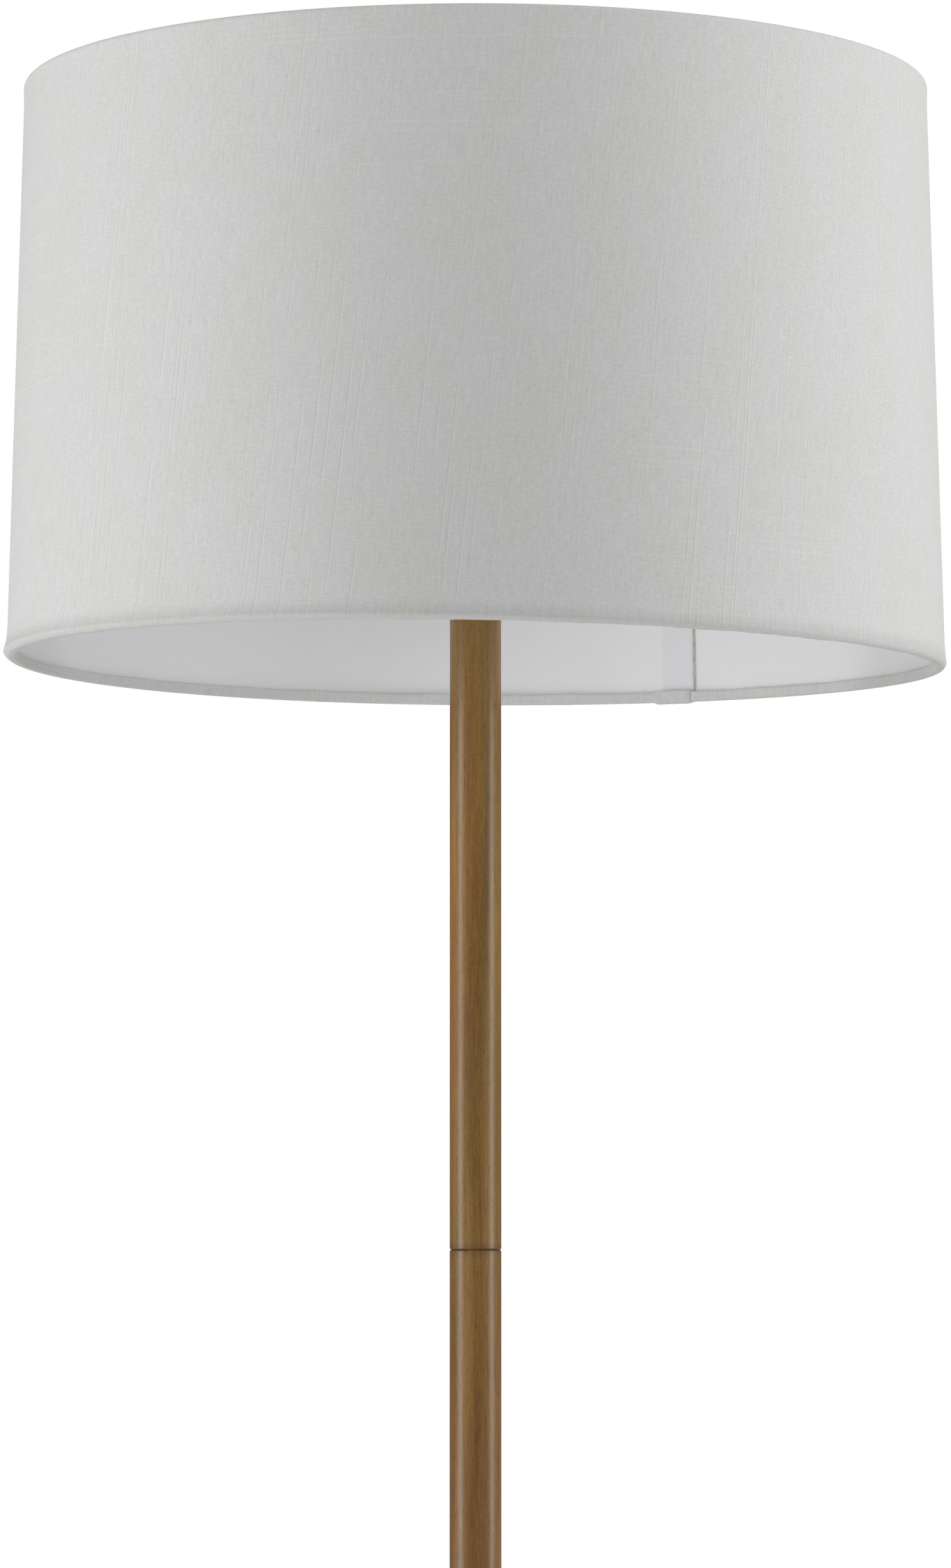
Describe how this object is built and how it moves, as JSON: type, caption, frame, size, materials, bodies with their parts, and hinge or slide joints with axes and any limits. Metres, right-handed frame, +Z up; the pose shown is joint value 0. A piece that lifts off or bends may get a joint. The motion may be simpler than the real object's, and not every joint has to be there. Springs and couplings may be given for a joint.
{
  "type": "tripod floor lamp",
  "caption": "Floor lamp: linen drum shade on a harp, a round wooden pole in two screwed lengths, and splayed turned legs in a wooden hub.",
  "frame": {"origin": "on the floor, under the pole's axis", "axes": "+Z up, -Y the front (the switch knob's side), +X the viewer's right"},
  "size_m": [0.457, 0.4672, 1.524],
  "materials": {
    "stained_wood": "light walnut stain, satin varnish",
    "rubber": "matte",
    "zinc_steel": "zinc plated",
    "black_plastic": "satin",
    "nickel": "brushed nickel plate",
    "fibre": "vulcanised fibre",
    "brass": "plain",
    "white_plastic": "satin",
    "board": "white solder mask",
    "led": "phosphor",
    "opal": "frosted",
    "linen": "slubby plain-weave linen",
    "styrene": "smooth white lining",
    "white_wire": "white powder coat"
  },
  "bodies": {
    "lamp_stand": {"leg_rear": "stained_wood", "leg_front_left": "stained_wood", "leg_front_right": "stained_wood", "foot_glide_rear": "rubber", "foot_glide_front_left": "rubber", "foot_glide_front_right": "rubber", "glide_nails": "zinc_steel", "leg_bolts": "zinc_steel", "leg_inserts": "zinc_steel", "tripod_hub": "stained_wood", "hub_washer": "zinc_steel", "hub_locknut": "zinc_steel", "hub_nipple": "zinc_steel", "cord_gland": "black_plastic", "lower_pole": "stained_wood", "upper_pole": "stained_wood", "pole_inserts": "zinc_steel", "pole_nipple": "zinc_steel", "pole_cap": "nickel", "neck_collar": "nickel", "neck_nipple": "zinc_steel", "harp_saddle": "nickel", "harp": "nickel", "harp_stud": "nickel", "socket_cap": "nickel", "socket_shell": "nickel", "socket_insulator": "fibre", "socket_interior": "black_plastic", "terminal_screws": "zinc_steel", "screw_shell": "brass", "socket_contact": "brass"},
    "shade": {"shade_fabric": "linen", "shade_liner": "styrene", "shade_spider": "white_wire", "shade_top_ring": "white_wire", "shade_bottom_ring": "white_wire"},
    "finial": {"finial": "nickel"},
    "harp_sleeve_left": {"harp_sleeve_left": "nickel"},
    "harp_sleeve_right": {"harp_sleeve_right": "nickel"},
    "bulb": {"bulb_contact": "brass", "bulb_insulator": "white_plastic", "bulb_cap": "nickel", "bulb_housing": "white_plastic", "led_board": "board", "leds": "led", "bulb_dome": "opal"},
    "switch": {"switch_shaft": "brass", "switch_knob": "black_plastic"}
  },
  "joints": [
    {"name": "shade_turn", "type": "hinge", "parent": "lamp_stand", "child": "shade", "pos_m": [0, 0, 1.5], "axis": [0, 0, 1], "continuous": true},
    {"name": "finial_unscrew", "type": "hinge", "parent": "lamp_stand", "child": "finial", "pos_m": [0, 0, 1.505], "axis": [0, 0, 1], "range_deg": [0, 3240]},
    {"name": "harp_sleeve_left_slide", "type": "slide", "parent": "lamp_stand", "child": "harp_sleeve_left", "axis": [0, 0, 1], "range_m": [0, 0.01]},
    {"name": "harp_sleeve_right_slide", "type": "slide", "parent": "lamp_stand", "child": "harp_sleeve_right", "axis": [0, 0, 1], "range_m": [0, 0.01]},
    {"name": "bulb_unscrew", "type": "hinge", "parent": "lamp_stand", "child": "bulb", "pos_m": [0, 0, 1.33], "axis": [0, 0, 1], "range_deg": [0, 1080]},
    {"name": "switch_turn", "type": "hinge", "parent": "lamp_stand", "child": "switch", "pos_m": [0, 0, 1.3115], "axis": [0, -1, 0], "continuous": true}
  ]
}
